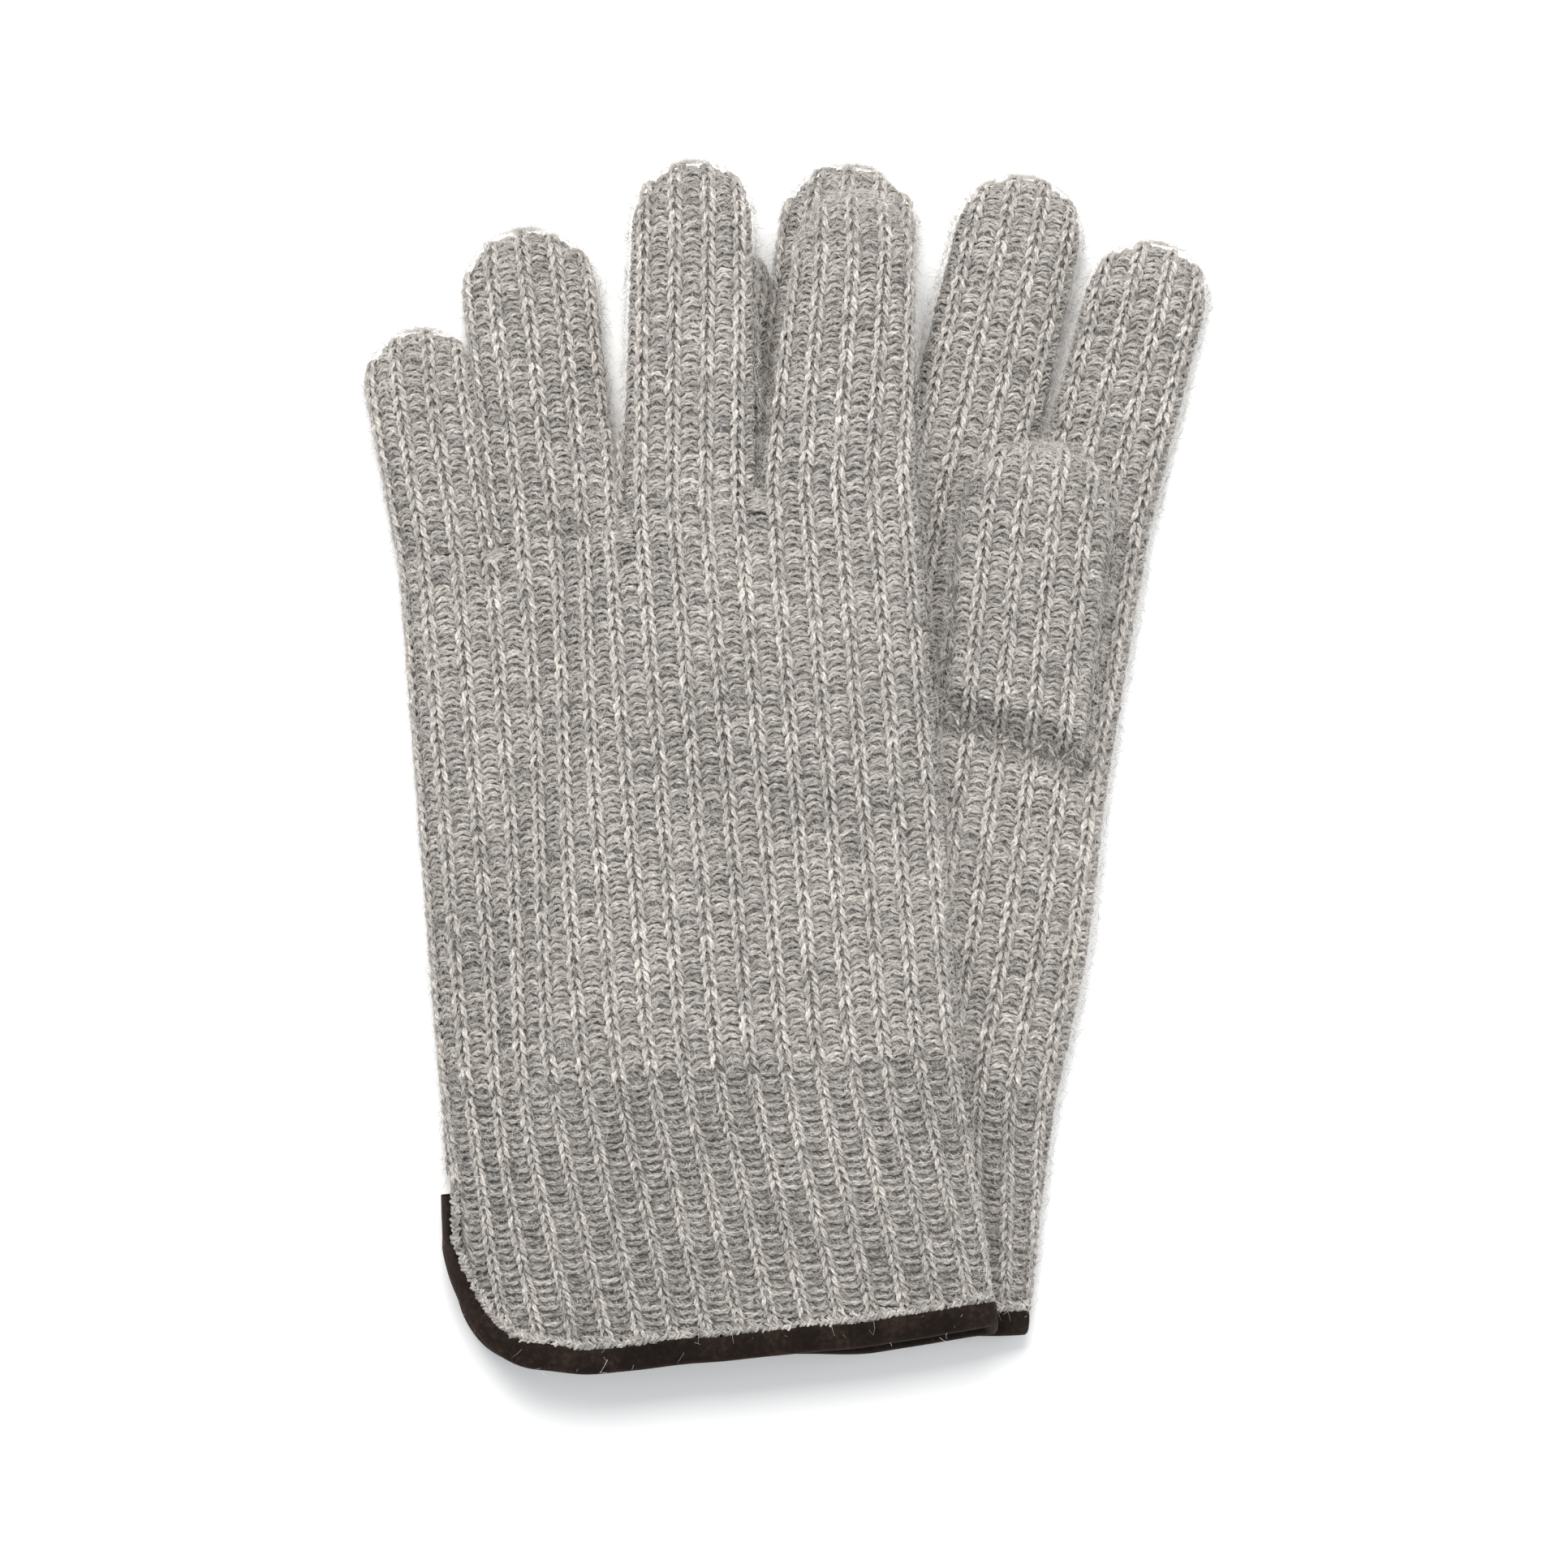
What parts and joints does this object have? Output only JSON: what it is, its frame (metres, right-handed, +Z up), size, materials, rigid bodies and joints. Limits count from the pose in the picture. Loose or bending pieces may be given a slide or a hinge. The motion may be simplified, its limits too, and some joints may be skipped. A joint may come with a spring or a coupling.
{
  "type": "knitted gloves",
  "caption": "Pair of ribbed knitted gloves lying flat, one across the other, with suede-bound side-vented cuffs; fingers fold up, a thumb opens and the top glove lifts off",
  "frame": {"origin": "bottom centre of the pair's box, on the surface the gloves lie on", "axes": "+Y towards the fingertips, +Z up from the surface, +X to the right with the fingertips up"},
  "size_m": [0.1706, 0.2466, 0.022],
  "materials": {
    "knit": "soft brushed rib knit, light grey marl",
    "suede": "dark brown suede, napped",
    "thread": "grey marl yarn"
  },
  "bodies": {
    "right_glove": {"right_hand": "knit", "right_cuff": "knit", "right_cuff_edge_row": "knit", "right_cuff_binding": "suede", "right_little_finger": "knit", "right_little_tip_seam": "thread", "right_ring_finger": "knit", "right_ring_tip_seam": "thread", "right_thumb_join": "thread", "right_finger_forks": "thread"},
    "left_glove": {"left_hand": "knit", "left_cuff": "knit", "left_cuff_edge_row": "knit", "left_cuff_binding": "suede", "left_thumb": "knit", "left_thumb_tip_seam": "thread", "left_thumb_join": "thread", "left_finger_forks": "thread"},
    "left_little": {"left_little_finger": "knit", "left_little_tip_seam": "thread"},
    "left_ring": {"left_ring_finger": "knit", "left_ring_tip_seam": "thread"},
    "left_middle": {"left_middle_finger": "knit", "left_middle_tip_seam": "thread"},
    "left_index": {"left_index_finger": "knit", "left_index_tip_seam": "thread"},
    "right_middle": {"right_middle_finger": "knit", "right_middle_tip_seam": "thread"},
    "right_index": {"right_index_finger": "knit", "right_index_tip_seam": "thread"},
    "right_thumb": {"right_thumb": "knit", "right_thumb_tip_seam": "thread"}
  },
  "joints": [
    {"name": "left_glove_lift", "type": "slide", "parent": "right_glove", "child": "left_glove", "axis": [-0.5, 0, 0.866], "range_m": [0, 0.08]},
    {"name": "left_little_fold", "type": "hinge", "parent": "left_glove", "child": "left_little", "pos_m": [-0.06917, 0.04457, 0.01005], "axis": [0.9969, 0.0785, 0], "range_deg": [0, 85]},
    {"name": "left_ring_fold", "type": "hinge", "parent": "left_glove", "child": "left_ring", "pos_m": [-0.04668, 0.04815, 0.0191], "axis": [0.9969, 0.0785, 0], "range_deg": [0, 85]},
    {"name": "left_middle_fold", "type": "hinge", "parent": "left_glove", "child": "left_middle", "pos_m": [-0.01988, 0.05427, 0.02035], "axis": [0.9969, 0.0785, 0], "range_deg": [0, 85]},
    {"name": "left_index_fold", "type": "hinge", "parent": "left_glove", "child": "left_index", "pos_m": [0.01039, 0.05906, 0.02035], "axis": [0.9969, 0.0785, 0], "range_deg": [0, 85]},
    {"name": "right_middle_fold", "type": "hinge", "parent": "right_glove", "child": "right_middle", "pos_m": [0.03934, 0.07146, 0.0099], "axis": [0.9863, -0.165, 0], "range_deg": [0, 85]},
    {"name": "right_index_fold", "type": "hinge", "parent": "right_glove", "child": "right_index", "pos_m": [0.06528, 0.06712, 0.0099], "axis": [0.9863, -0.165, 0], "range_deg": [0, 85]},
    {"name": "right_thumb_open", "type": "hinge", "parent": "right_glove", "child": "right_thumb", "pos_m": [0.04693, 0.00774, 0.0145], "axis": [0.9863, -0.165, 0], "range_deg": [0, 75]}
  ]
}
